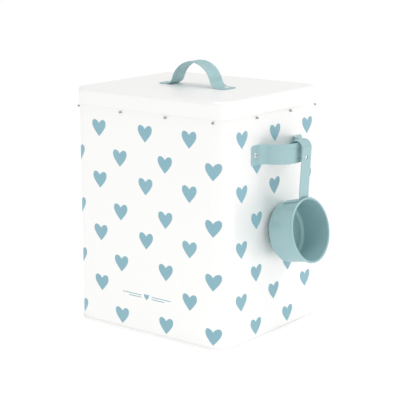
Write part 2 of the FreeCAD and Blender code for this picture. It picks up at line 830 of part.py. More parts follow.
def make_scoop_handle():
    place = scoop_place()
    # the foot is a strip that hugs the top of the cup's side, from behind its rim to its base
    cup = cone("cup_blank", "cup_base_radius", "cup_mouth_radius", "cup_depth", place)
    sleeve = cone(
        "foot_sleeve",
        "cup_base_radius + strap_sheet",
        "cup_mouth_radius + strap_sheet",
        "cup_depth",
        place,
    )
    strip = doc.addObject("Part::Box", "foot_strip")
    bind(strip, "Length", "2 * cup_mouth_radius")
    bind(strip, "Width", "strap_width")
    bind(strip, "Height", "strap_foot_length")
    corner = FreeCAD.Vector(
        size("-2 * cup_mouth_radius"),
        size("-strap_width / 2"),
        size(f"cup_depth - ({strap_behind_rim()}) - strap_foot_length"),
    )
    strip.Placement = place * FreeCAD.Placement(corner, FreeCAD.Rotation())
    foot = boolean("Common", "strap_foot", sleeve, strip)
    joined = boolean("Fuse", "strap_and_foot", make_strap(), foot)
    trimmed = boolean("Cut", "strap_trimmed", joined, cup)
    _, top, _, down, outward = strap_line()
    hole_place = FreeCAD.Placement(
        top + down * size("strap_hole_drop"), FreeCAD.Rotation(FreeCAD.Vector(0, 0, 1), outward)
    )
    hole = cylinder(
        "strap_hole", "strap_hole_radius", "4 * strap_sheet", hole_place, "-2 * strap_sheet"
    )
    return finish(boolean("Cut", "scoop_handle", trimmed, hole), "scoop_handle")


# ---------------------------------------------------------------- build and write


def make_all():
    make_body_wall()
    make_base_pan()
    make_lid_shell()
    make_bow("lid_handle", lid_bow_place())
    make_bow("side_handle", side_bow_place())
    for side, place in zip(("left", "right"), LID_RIVETS):
        make_rivet(f"lid_handle_rivet_{side}", place, f"lid_handle_mandrel_{side}")
    for side, place in zip(("front", "rear"), SIDE_RIVETS):
        make_rivet(f"side_handle_rivet_{side}", place, f"side_handle_mandrel_{side}")
    for index, place in enumerate(STOP_PLACES, start=1):
        make_stop(f"lid_stop_{index:02d}", place)
    make_scoop_cup()
    make_scoop_handle()


def check_all():
    doc.recompute()
    for thing in doc.Objects:
        if "Invalid" in thing.State or "Error" in thing.State:
            raise RuntimeError(f"{thing.Label} failed: {thing.State}")
    for thing in subparts:
        if thing.Shape.isNull() or not thing.Shape.isValid():
            raise RuntimeError(f"{thing.Label} has no valid shape")
        if len(thing.Shape.Solids) != 1:
            raise RuntimeError(f"{thing.Label} has {len(thing.Shape.Solids)} solids")


make_all()
check_all()
os.makedirs("parts", exist_ok=True)
for thing in subparts:
    thing.Shape.exportStep(f"parts/{thing.Label}.step")
    box = thing.Shape.BoundBox
    corner_low = f"{box.XMin:.2f} {box.YMin:.2f} {box.ZMin:.2f}"
    corner_high = f"{box.XMax:.2f} {box.YMax:.2f} {box.ZMax:.2f}"
    print(f"{thing.Label}: {thing.Shape.Volume:.1f} mm3, from {corner_low} to {corner_high}")
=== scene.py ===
import math
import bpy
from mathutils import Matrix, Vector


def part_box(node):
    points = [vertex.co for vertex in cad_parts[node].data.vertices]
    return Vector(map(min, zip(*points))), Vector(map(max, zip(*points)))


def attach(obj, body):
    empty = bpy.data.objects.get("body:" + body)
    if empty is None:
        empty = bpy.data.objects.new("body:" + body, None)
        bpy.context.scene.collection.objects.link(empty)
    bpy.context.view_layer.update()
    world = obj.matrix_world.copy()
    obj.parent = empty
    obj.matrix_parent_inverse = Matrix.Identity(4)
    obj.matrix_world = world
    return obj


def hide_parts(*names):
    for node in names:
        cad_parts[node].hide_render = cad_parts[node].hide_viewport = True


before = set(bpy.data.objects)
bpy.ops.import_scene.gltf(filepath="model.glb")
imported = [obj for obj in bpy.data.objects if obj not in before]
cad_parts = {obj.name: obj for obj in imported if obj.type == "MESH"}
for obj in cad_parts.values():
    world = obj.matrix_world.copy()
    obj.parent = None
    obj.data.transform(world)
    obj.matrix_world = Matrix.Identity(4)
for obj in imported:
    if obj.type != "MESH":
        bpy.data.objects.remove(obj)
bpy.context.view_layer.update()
from types import SimpleNamespace

import bmesh
import bpy
from bpy.props import FloatProperty, FloatVectorProperty, IntProperty, PointerProperty
from mathutils import Matrix, Vector
from mathutils.geometry import interpolate_bezier

bl_info = {
    "name": "Heart Storage Tin",
    "version": (1, 0, 0),
    "blender": (4, 5, 0),
    "location": "View3D > Sidebar > Storage Tin",
    "description": "A white enamelled storage tin with printed hearts, bow handles and a hanging scoop",
    "category": "Add Mesh",
}

TO_MM = 1000.0
SHARP_ANGLE = math.radians(50)

WALL_LOW, WALL_HIGH = (corner * TO_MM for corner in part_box("body_wall"))
PAN_LOW, PAN_HIGH = (corner * TO_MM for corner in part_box("base_pan"))
LID_LOW, LID_HIGH = (corner * TO_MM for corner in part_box("lid_shell"))
LID_BOW_LOW, LID_BOW_HIGH = (corner * TO_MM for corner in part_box("lid_handle"))
SIDE_BOW_LOW, SIDE_BOW_HIGH = (corner * TO_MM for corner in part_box("side_handle"))
CUP_LOW, CUP_HIGH = (corner * TO_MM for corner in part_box("scoop_cup"))
STRAP_LOW, STRAP_HIGH = (corner * TO_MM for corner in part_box("scoop_handle"))
PIN_LOW, PIN_HIGH = (corner * TO_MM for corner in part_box("lid_stop_01"))

HALF_WIDTH = WALL_HIGH.x
HALF_DEPTH = WALL_HIGH.y


# ---------------------------------------------------------------- sizes and colours


def length(name, description, millimetres):
    return FloatProperty(
        name=name, description=description, default=millimetres / TO_MM, unit="LENGTH", precision=5
    )


def paint(name, description, colour):
    return FloatVectorProperty(
        name=name, description=description, default=colour, subtype="COLOR", size=3, min=0.0, max=1.0
    )


class TinSizes(bpy.types.PropertyGroup):
    corner_radius: length("Corner radius", "Outside radius of the tin's upright corners", 20.0)
    sheet: length("Sheet", "Thickness of the tin's steel sheet", 0.6)
    hem_depth: length("Hem depth", "How far the wall's top edge is folded down inside", 5.0)
    hem_round: length("Hem round", "Radius of the folded top edge", 0.45)
    seam_width: length("Lock seam width", "Width of the folded seam inside the back", 6.0)
    seam_groove: length("Lock seam groove", "Depth of the line that the seam leaves outside", 0.3)
    rim_round: length("Rim round", "Radius of the base rim's edges", 0.48)
    base_step: length("Base step", "How far in from the rim the base is pressed up", 17.2)
    base_rise: length("Base rise", "How far the base is pressed up", 1.2)


class LidSizes(bpy.types.PropertyGroup):
    shoulder: length("Shoulder", "Radius of the lid's upper edge", 4.0)
    border: length("Border", "Width of the raised border round the lid's panel", 10.0)
    sink: length("Panel sink", "How far the lid's panel lies below its border", 0.6)
    slope: length("Panel slope", "Width of the slope from the border to the panel", 1.3)


class BowSizes(bpy.types.PropertyGroup):
    radius: length("Bow radius", "Outside radius of the bow", 28.4)
    bend_radius: length("Bend radius", "Radius of the bend between foot and bow", 10.4)
    sheet: length("Bow sheet", "Thickness of the bow's strip", 1.2)
    bead_inset: length("Bead inset", "How far each bead lies from the strip's edge", 3.6)
    bead_half_width: length("Bead half width", "Half the width of a bead", 1.0)
    bead_stand: length("Bead height", "How far a bead stands proud", 0.45)
    crown: length("Crown", "How far the middle of the strip stands proud", 0.22)
    edge_round: length("Edge round", "Radius of the strip's long edges", 0.42)
    foot_corner: length("Foot corner", "Radius of the foot's corners", 3.0)


class RivetSizes(bpy.types.PropertyGroup):
    radius: length("Shank radius", "Radius of a rivet's shank", 2.0)
    head_radius: length("Head radius", "Radius of a rivet's head", 3.1)
    head_height: length("Head height", "Height of a rivet's head", 1.1)
    bore: length("Bore", "Radius of the hole that the mandrel is drawn through", 1.0)
    tail_radius: length("Tail radius", "Radius of the swollen tail", 2.8)
    tail_length: length("Tail length", "Length of the swollen tail", 3.2)
    grip: length("Grip", "Thickness of the sheets between head and tail", 1.8)
    pin_start: length("First pin", "First lid pin, from the middle of the front right corner", -10.0)
    pin_shift: length(
        "Far pin shift", "How far the pins at the left front and right back corners lie off", -7.5
    )
    pin_radius: length("Pin radius", "Radius of a lid pin's end", 1.25)
    pin_reach: length("Pin reach", "How far a lid pin stands out", 2.5)
    pin_shank: length("Pin shank", "Radius of a lid pin's shank", 0.9)
    pin_clench: length("Pin clench", "Radius of a lid pin's clenched inner end", 1.5)


class ScoopSizes(bpy.types.PropertyGroup):
    tilt: FloatProperty(
        name="Tilt", description="How far the mouth tips up", default=math.radians(12), subtype="ANGLE"
    )
    depth: length("Cup depth", "Outside depth of the cup", 35.1)
    mouth_radius: length("Mouth radius", "Outside radius of the cup behind its rim", 33.9)
    base_radius: length("Base radius", "Outside radius of the cup's base", 32.6)
    base_round: length("Base round", "Radius of the edge round the cup's base", 5.0)
    sheet: length("Cup sheet", "Thickness of the cup's sheet", 0.8)
    rim_radius: length("Rim radius", "Radius of the rolled rim", 1.3)
    base_ring: length("Base ring", "Radius of the part of the base that is pressed in", 25.0)
    base_press: length("Base press", "How far that part is pressed in", 0.9)
    strap_width: length("Strap width", "Width of the strap", 17.2)
    strap_sheet: length("Strap sheet", "Thickness of the strap", 1.2)
    strap_corner: length("Strap corner", "Radius of the corners at the strap's ends", 2.0)
    edge_round: length("Strap edge round", "Radius of the strap's long edges", 0.42)
    hook_radius: length("Hook radius", "Inside radius of the hook", 8.0)
    hook_tail: length("Hook tail", "Straight length at the end of the hook", 8.0)
    hole_radius: length("Hole radius", "Radius of the hole through the strap", 2.25)
    hole_drop: length("Hole drop", "How far the hole lies below the hook", 9.0)
    setback: length("Setback", "How far behind the mouth the strap comes down", 3.6)
    foot_length: length("Foot length", "Length of the strap's foot along the cup", 22.0)
    foot_bend: length("Foot bend", "Radius of the bend above the foot", 2.0)


class PrintSizes(bpy.types.PropertyGroup):
    columns: IntProperty(name="Columns", description="Heart columns of each kind round the tin", default=12)
    even_start: length("First even column", "From the middle of the front right corner", -101.0)
    odd_start: length("First odd column", "From the middle of the front right corner", -74.4)
    ink: length("Ink", "Thickness of the printed colour", 0.05)


class Finishes(bpy.types.PropertyGroup):
    white: paint("White", "The white powder coat", (0.838, 0.820, 0.816))
    white_shade: paint("White shade", "Where the white is a little thinner", (0.824, 0.804, 0.798))
    teal: paint("Teal", "The handles' powder coat", (0.170, 0.360, 0.395))
    teal_shade: paint("Teal shade", "Where the teal is a little thinner", (0.155, 0.338, 0.370))
    ink: paint("Ink", "The printed hearts", (0.265, 0.470, 0.545))
    ink_shade: paint("Ink shade", "Where the print is a little heavier", (0.242, 0.446, 0.520))
    rivet: paint("Rivet", "The blind rivets", (0.80, 0.80, 0.79))
    mandrel: paint("Mandrel", "The rivets' broken stubs", (0.25, 0.25, 0.26))
    pin: paint("Pin", "The lid pins", (0.17, 0.155, 0.14))


def in_mm(group):
    """A group's sizes, in millimetres, as plain numbers."""
    names = group.bl_rna.properties.keys()
    numbers = {name: getattr(group, name) for name in names if name not in ("rna_type", "name")}
    angles = [name for name in numbers if group.bl_rna.properties[name].unit == "ROTATION"]
    return SimpleNamespace(
        **{
            name: number if name in angles or isinstance(number, int) else number * TO_MM
            for name, number in numbers.items()
        }
    )


# ---------------------------------------------------------------- finishes


def add_node(tree, kind, place, **settings):
    node = tree.nodes.new(kind)
    node.location = place
    for name, value in settings.items():
        if hasattr(node, name):
            setattr(node, name, value)
        else:
            node.inputs[name].default_value = value
    return node


def noise(tree, coordinates, scale, place, detail=2.0, roughness=0.5):
    texture = add_node(tree, "ShaderNodeTexNoise", place, Scale=scale, Detail=detail, Roughness=roughness)
    tree.links.new(coordinates.outputs["Object"], texture.inputs["Vector"])
    return texture.outputs["Fac"]


def spread(tree, value, low, high, place, source=(0.3, 0.7)):
    """A value between low and high from a noise, which mostly lies between the source's ends."""
    ranged = add_node(tree, "ShaderNodeMapRange", place)
    ranged.inputs["From Min"].default_value = source[0]
    ranged.inputs["From Max"].default_value = source[1]
    ranged.inputs["To Min"].default_value = low
    ranged.inputs["To Max"].default_value = high
    tree.links.new(value, ranged.inputs["Value"])
    return ranged.outputs["Result"]


def new_finish(name):
    material = bpy.data.materials.new(name)
    material.use_nodes = True
    tree = material.node_tree
    tree.nodes.clear()
    coordinates = add_node(tree, "ShaderNodeTexCoord", (-1100, 0))
    shader = add_node(tree, "ShaderNodeBsdfPrincipled", (100, 0))
    output = add_node(tree, "ShaderNodeOutputMaterial", (400, 0))
    tree.links.new(shader.outputs["BSDF"], output.inputs["Surface"])
    return material, tree, coordinates, shader


def mix_colours(tree, factor, first, second, place):
    mix = add_node(tree, "ShaderNodeMix", place, data_type="RGBA")
    tree.links.new(factor, mix.inputs["Factor"])
    for socket in mix.inputs:
        if socket.type == "RGBA" and socket.name == "A":
            socket.default_value = (*first, 1.0)
        if socket.type == "RGBA" and socket.name == "B":
            socket.default_value = (*second, 1.0)
    return next(socket for socket in mix.outputs if socket.type == "RGBA")


def enamel(name, colour, shade, roughness, peel=0.10, specular=0.5, coat=0.0):
    """Powder coat: a broad drift in colour, an orange-peel surface and a little uneven gloss."""
    material, tree, coordinates, shader = new_finish(name)
    drift = spread(tree, noise(tree, coordinates, 16.0, (-900, 300)), 0.0, 1.0, (-600, 300))
    tint = mix_colours(tree, drift, colour, shade, (-300, 300))
    tree.links.new(tint, shader.inputs["Base Color"])
    gloss = noise(tree, coordinates, 90.0, (-900, 0), detail=3.0)
    gloss = spread(tree, gloss, roughness - 0.035, roughness + 0.035, (-600, 0))
    tree.links.new(gloss, shader.inputs["Roughness"])
    surface = noise(tree, coordinates, 750.0, (-900, -300), detail=1.5, roughness=0.4)
    bump = add_node(tree, "ShaderNodeBump", (-300, -300), Strength=peel, Distance=0.0003)
    tree.links.new(surface, bump.inputs["Height"])
    tree.links.new(bump.outputs["Normal"], shader.inputs["Normal"])
    shader.inputs["Specular IOR Level"].default_value = specular
    shader.inputs["Coat Weight"].default_value = coat
    shader.inputs["Coat Roughness"].default_value = 0.08
    return material


def bare_metal(name, colour, roughness):
    """Bare metal: small scuffs in its gloss, and a slightly pitted surface."""
    material, tree, coordinates, shader = new_finish(name)
    darker = [channel * 0.8 for channel in colour]
    stain = spread(tree, noise(tree, coordinates, 420.0, (-900, 300), detail=4.0), 0.0, 1.0, (-600, 300))
    tree.links.new(mix_colours(tree, stain, colour, darker, (-300, 300)), shader.inputs["Base Color"])
    scuffs = noise(tree, coordinates, 1500.0, (-900, 0), detail=3.0)
    tree.links.new(
        spread(tree, scuffs, roughness - 0.08, roughness + 0.1, (-600, 0)), shader.inputs["Roughness"]
    )
    bump = add_node(tree, "ShaderNodeBump", (-300, -300), Strength=0.15, Distance=0.0001)
    tree.links.new(scuffs, bump.inputs["Height"])
    tree.links.new(bump.outputs["Normal"], shader.inputs["Normal"])
    shader.inputs["Metallic"].default_value = 1.0
    return material


def finish_named(context, name):
    """One of the object's finishes, made when it is first asked for."""
    known = bpy.data.materials.get(name)
    if known:
        return known
    paints = context.scene.tin_finishes
    if name == "white_enamel":
        return enamel(name, paints.white, paints.white_shade, 0.42, peel=0.08, specular=0.4)
    if name == "teal_enamel":
        return enamel(name, paints.teal, paints.teal_shade, 0.22, peel=0.06, coat=1.0)
    if name == "printed_ink":
        return enamel(name, paints.ink, paints.ink_shade, 0.40, peel=0.08, specular=0.4)
    if name == "rivet_metal":
        return bare_metal(name, paints.rivet, 0.28)
    if name == "mandrel_steel":
        return bare_metal(name, paints.mandrel, 0.42)
    return bare_metal(name, paints.pin, 0.45)


# ---------------------------------------------------------------- shapes


def wire(bm, points, closed=False):
    """A line of edges through the points, as its vertices and edges."""
    vertices = [bm.verts.new(point) for point in points]
    edges = [bm.edges.new(pair) for pair in zip(vertices, vertices[1:])]
    if closed:
        edges.append(bm.edges.new((vertices[-1], vertices[0])))
    return vertices, edges


def round_corners(bm, vertices, radius, segments):
    bmesh.ops.bevel(
        bm,
        geom=vertices,
        offset=radius,
        offset_type="OFFSET",
        segments=segments,
        profile=0.5,
        affect="VERTICES",
        clamp_overlap=False,
        material=-1,
    )


def outline_ring(bm, corner_radius, segments, cuts=()):
    """The tin's rounded outline at level 0, and nothing else. Each cut adds points where x has that value."""
    bmesh.ops.create_grid(bm, x_segments=1, y_segments=1, size=1.0)
    bmesh.ops.scale(bm, vec=(HALF_WIDTH, HALF_DEPTH, 1.0), verts=bm.verts[:])
    round_corners(bm, bm.verts[:], corner_radius, segments)
    for cut in cuts:
        whole = bm.verts[:] + bm.edges[:] + bm.faces[:]
        bmesh.ops.bisect_plane(bm, geom=whole, plane_co=(cut, 0, 0), plane_no=(1, 0, 0))
    inside = [edge for edge in bm.edges if not edge.is_boundary]
    bmesh.ops.delete(bm, geom=bm.faces[:], context="FACES_ONLY")
    bmesh.ops.delete(bm, geom=inside, context="EDGES")


def outward_of(point, corner_radius):
    """Which way is outwards from the tin's outline at a point on it."""
    flat_x = HALF_WIDTH - corner_radius
    flat_y = HALF_DEPTH - corner_radius
    nearest = Vector((min(max(point.x, -flat_x), flat_x), min(max(point.y, -flat_y), flat_y)))
    return (point.xy - nearest).normalized().to_3d()


def sweep(bm, corner_radius, steps, roundings=(), joined=False):
    """Carries the outline ring through (growth, level) steps, and fills its ends or joins them together.

    Each rounding is (step number, radius, segments), and bevels the edges of that step."""
    number = bm.edges.layers.int.new("step")
    ring = bm.edges[:]
    outwards = {vertex: outward_of(vertex.co, corner_radius) for vertex in bm.verts}
    growth, level = steps[0]
    for vertex, outward in outwards.items():
        vertex.co += outward * growth
        vertex.co.z = level
    first = list(ring)
    for edge in ring:
        edge[number] = 1
    for index, (next_growth, next_level) in enumerate(steps[1:], start=2):
        made = bmesh.ops.extrude_edge_only(bm, edges=ring)["geom"]
        moved = {}
        for vertex in (item for item in made if isinstance(item, bmesh.types.BMVert)):
            nearest = next(
                other
                for other in (edge.other_vert(vertex) for edge in vertex.link_edges)
                if other in outwards
            )
            moved[vertex] = outwards[nearest]
        for vertex, outward in moved.items():
            vertex.co += outward * (next_growth - growth)
            vertex.co.z = next_level
        outwards = moved
        growth = next_growth
        ring = [
            edge
            for edge in made
            if isinstance(edge, bmesh.types.BMEdge) and all(vertex in moved for vertex in edge.verts)
        ]
        for edge in ring:
            edge[number] = index
    if joined:
        bmesh.ops.bridge_loops(bm, edges=ring + first)
    else:
        bmesh.ops.edgeloop_fill(bm, edges=first)
        bmesh.ops.edgeloop_fill(bm, edges=ring)
    for step, radius, segments in roundings:
        edges = [edge for edge in bm.edges if edge[number] == step]
        bmesh.ops.bevel(
            bm,
            geom=edges,
            offset=radius,
            offset_type="OFFSET",
            segments=segments,
            profile=0.5,
            affect="EDGES",
            clamp_overlap=False,
            material=-1,
        )


def turn(bm, geometry, centre, axis, angle, steps):
    """Spins wire geometry, and returns its last copy's edges and vertices."""
    last = bmesh.ops.spin(
        bm,
        geom=geometry,
        cent=centre,
        axis=axis,
        dvec=(0, 0, 0),
        angle=angle,
        steps=steps,
        use_merge=False,
        use_normal_flip=False,
        use_duplicate=False,
    )["geom_last"]
    return [item for item in last if isinstance(item, (bmesh.types.BMVert, bmesh.types.BMEdge))]


def draw_out(bm, geometry, travel):
    """Extrudes a loop of edges by a vector, and returns the new loop's edges and vertices."""
    edges = [item for item in geometry if isinstance(item, bmesh.types.BMEdge)]
    made = bmesh.ops.extrude_edge_only(bm, edges=edges)["geom"]
    vertices = [item for item in made if isinstance(item, bmesh.types.BMVert)]
    bmesh.ops.translate(bm, vec=travel, verts=vertices)
    ring = [
        item
        for item in made
        if isinstance(item, bmesh.types.BMEdge) and all(vertex in vertices for vertex in item.verts)
    ]
    return vertices + ring


def lathe(bm, steps=64):
    """Turns the wire that lies in the XZ plane right round Z, and closes it on the axis."""
    bmesh.ops.spin(
        bm,
        geom=bm.verts[:] + bm.edges[:],
        cent=(0, 0, 0),
        axis=(0, 0, 1),
        dvec=(0, 0, 0),
        angle=2 * math.pi,
        steps=steps,
        use_merge=True,
        use_normal_flip=False,
        use_duplicate=False,
    )
    bmesh.ops.remove_doubles(bm, verts=bm.verts[:], dist=1e-4)


def strip_section(bm, across, thickness, edge_round, origin, sideways, upright):
    """A flat strip's section as a closed wire, with points at these places across it."""
    half = thickness / 2
    lower = [origin + sideways * place - upright * half for place in across]
    upper = [origin + sideways * place + upright * half for place in reversed(across)]
    vertices, _ = wire(bm, lower + upper, closed=True)
    last = len(across) - 1
    corners = [vertices[index] for index in (0, last, last + 1, -1)]
    round_corners(bm, corners, edge_round, 3)
    return bm.verts[:] + bm.edges[:]


def close_ends(bm):
    """Fills the two open ends of a strip."""
    for loop in open_loops(bm):
        bmesh.ops.edgeloop_fill(bm, edges=loop)


def open_loops(bm):
    left = {edge for edge in bm.edges if edge.is_boundary}
    loops = []
    while left:
        loop = [left.pop()]
        grown = True
        while grown:
            grown = False
            ends = {vertex for edge in loop for vertex in edge.verts}
            for edge in list(left):
                if ends & set(edge.verts):
                    loop.append(edge)
                    left.remove(edge)
                    grown = True
        loops.append(loop)
    return loops


def smooth_step(share):
    share = min(max(share, 0.0), 1.0)
    return share * share * (3 - 2 * share)


def make_piece(context, name, bm, finish, body, nodes=(), weighted=False):
    """Turns a mesh in millimetres into a finished piece that rides on a body."""
    bmesh.ops.recalc_face_normals(bm, faces=bm.faces[:])
    bm.transform(Matrix.Scale(1 / TO_MM, 4))
    for face in bm.faces:
        face.smooth = True
    for edge in bm.edges:
        edge.smooth = len(edge.link_faces) == 2 and edge.calc_face_angle(0.0) < SHARP_ANGLE
    mesh = bpy.data.meshes.new(name)
    bm.to_mesh(mesh)
    bm.free()
    mesh.materials.append(finish_named(context, finish))
    piece = bpy.data.objects.new(name, mesh)
    context.scene.collection.objects.link(piece)
    if weighted:
        normals = piece.modifiers.new("even_shading", "WEIGHTED_NORMAL")
        normals.keep_sharp = True
        normals.weight = 50
    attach(piece, body)
    if nodes:
        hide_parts(*nodes)
    return piece


def along_wall(distance, level, growth, corner_radius):
    """A place on the wall and its outward way. Distance runs from the middle of the front right corner."""
    quarter = corner_radius * math.pi / 2
    flat_x = HALF_WIDTH - corner_radius
    flat_y = HALF_DEPTH - corner_radius
    sides = (2 * flat_y, 2 * flat_x) * 2
    centres = ((flat_x, -flat_y), (flat_x, flat_y), (-flat_x, flat_y), (-flat_x, -flat_y))
    rest = (distance + quarter / 2) % (4 * quarter + sum(sides))
    for index, (centre, side) in enumerate(zip(centres, sides)):
        start = (index - 1) * math.pi / 2
        angle = start + min(rest, quarter) / corner_radius
        outward = Vector((math.cos(angle), math.sin(angle), 0))
        run = rest - quarter
        if run <= side:
            forward = Vector((-outward.y, outward.x, 0)) * max(run, 0)
            place = Vector((*centre, level)) + outward * (corner_radius + growth) + forward
            return place, outward
        rest = run - side
    raise ValueError("the distance is beyond the wall's length")


def wall_length(corner_radius):
    return 2 * math.pi * corner_radius + 4 * (HALF_WIDTH + HALF_DEPTH - 2 * corner_radius)


# ---------------------------------------------------------------- the tin and its lid

CORNER_SEGMENTS = 24
# how wide the base's step is, as a share of its height
STEP_SLOPE = 0.7
# the roundings at the border's two edges, and at the skirt's foot as a share of the sheet
BORDER_ROUND = 0.7
PANEL_ROUND = 0.5
SKIRT_ROUND = 0.3


class TIN_OT_wall(bpy.types.Operator):
    """The tin's wall, with its folded top edge and the lock seam at the back"""

    bl_idname = "storage_tin.wall"
    bl_label = "Make the wall"

    def execute(self, context):
        tin = in_mm(context.scene.tin_sizes)
        top = WALL_HIGH.z
        foot = WALL_LOW.z
        line = tin.seam_width / 2
        bm = bmesh.new()
        cuts = (line - 0.5, line, line + 0.5)
        outline_ring(bm, tin.corner_radius, CORNER_SEGMENTS, cuts)
        steps = [
            (0, foot),
            (0, foot + tin.hem_depth),
            (0, top),
            (-2 * tin.sheet, top),
            (-2 * tin.sheet, top - tin.hem_depth),
            (-tin.sheet, top - tin.hem_depth),
            (-tin.sheet, foot),
        ]
        roundings = [(3, tin.hem_round, 3), (4, tin.hem_round, 3)]
        sweep(bm, tin.corner_radius, steps, roundings, joined=True)
        for vertex in bm.verts:
            outside = vertex.co.y > HALF_DEPTH - 0.01 and abs(vertex.co.x - line) < 0.01
            if outside and vertex.co.z > foot + 1:
                vertex.co.y -= tin.seam_groove
        # the folded seam inside the back
        seam = bmesh.ops.create_cube(bm, size=1.0)["verts"]
        low = PAN_HIGH.z
        high = top - tin.hem_depth
        bmesh.ops.scale(bm, vec=(tin.seam_width, tin.sheet, high - low), verts=seam)
        middle = (0, HALF_DEPTH - 1.5 * tin.sheet, (low + high) / 2)
        bmesh.ops.translate(bm, vec=middle, verts=seam)
        upright = [
            edge
            for edge in {edge for vertex in seam for edge in vertex.link_edges}
            if abs(edge.verts[0].co.z - edge.verts[1].co.z) > 1 and edge.verts[0].co.y < middle[1]
        ]
        bmesh.ops.bevel(
            bm,
            geom=upright,
            offset=tin.sheet * 0.6,
            offset_type="OFFSET",
            segments=3,
            profile=0.5,
            affect="EDGES",
            clamp_overlap=False,
            material=-1,
        )
        make_piece(context, "tin_wall", bm, "white_enamel", "tin", ("body_wall",), True)
        return {"FINISHED"}


class TIN_OT_base(bpy.types.Operator):
    """The base: a double seam round the wall's foot, and a panel that is pressed up"""

    bl_idname = "storage_tin.base"
    bl_label = "Make the base"

    def execute(self, context):
        tin = in_mm(context.scene.tin_sizes)
        outset = PAN_HIGH.x - HALF_WIDTH
        inner = -2 * tin.sheet
        panel = PAN_HIGH.z - tin.base_rise
        step = inner - tin.base_step
        slope = tin.base_rise * STEP_SLOPE
        bm = bmesh.new()
        outline_ring(bm, tin.corner_radius, CORNER_SEGMENTS)
        steps = [
            (step - slope, PAN_HIGH.z - tin.sheet),
            (step, panel - tin.sheet),
            (inner, panel - tin.sheet),
            (inner, PAN_LOW.z),
            (outset, PAN_LOW.z),
            (outset, panel),
            (0, panel),
            (0, tin.sheet),
            (-tin.sheet, tin.sheet),
            (-tin.sheet, panel),
            (step + tin.sheet / 2, panel),
            (step + tin.sheet / 2 - slope, PAN_HIGH.z),
        ]
        roundings = [(4, tin.rim_round, 3), (5, tin.rim_round, 3), (6, tin.rim_round, 3)]
        sweep(bm, tin.corner_radius, steps, roundings)
        make_piece(context, "tin_base", bm, "white_enamel", "tin", ("base_pan",), True)
        return {"FINISHED"}


class TIN_OT_lid(bpy.types.Operator):
    """The lid: a deep skirt, a soft shoulder, and a panel sunk inside a border"""

    bl_idname = "storage_tin.lid"
    bl_label = "Make the lid"

    def execute(self, context):
        tin = in_mm(context.scene.tin_sizes)
        lid = in_mm(context.scene.tin_lid)
        outset = LID_HIGH.x - HALF_WIDTH
        inset = outset - tin.sheet
        top = LID_HIGH.z
        panel = outset - lid.border
        bm = bmesh.new()
        outline_ring(bm, tin.corner_radius, CORNER_SEGMENTS)
        steps = [
            (panel + tin.sheet - lid.slope, top - lid.sink - tin.sheet),
            (panel + tin.sheet, top - tin.sheet),
            (inset, top - tin.sheet),
            (inset, LID_LOW.z),
            (outset, LID_LOW.z),
            (outset, top),
            (panel, top),
            (panel - lid.slope, top - lid.sink),
        ]
        roundings = [
            (3, lid.shoulder - tin.sheet, 6),
            (4, tin.sheet * SKIRT_ROUND, 2),
            (5, tin.sheet * SKIRT_ROUND, 2),
            (6, lid.shoulder, 10),
            (7, BORDER_ROUND, 4),
            (8, PANEL_ROUND, 3),
        ]
        sweep(bm, tin.corner_radius, steps, roundings)
        make_piece(context, "lid_cover", bm, "white_enamel", "lid", ("lid_shell",), True)
        return {"FINISHED"}


# ---------------------------------------------------------------- the bow handles

# how finely the bows are divided
CROWN_SPACING = 1.2
CORNER_STEPS = 6
BEND_STEPS = 10
BOW_STEPS = 56
# how far along the bow its beads rise from nothing
BEAD_RISE = math.radians(9)


def corner_travels(radius, steps):
    """The lengths that a strip is drawn out by, one after another, across a rounded corner."""
    places = [radius * (1 - math.cos(math.pi / 2 * index / steps)) for index in range(steps + 1)]
    return [after - before for before, after in zip(places, places[1:])]


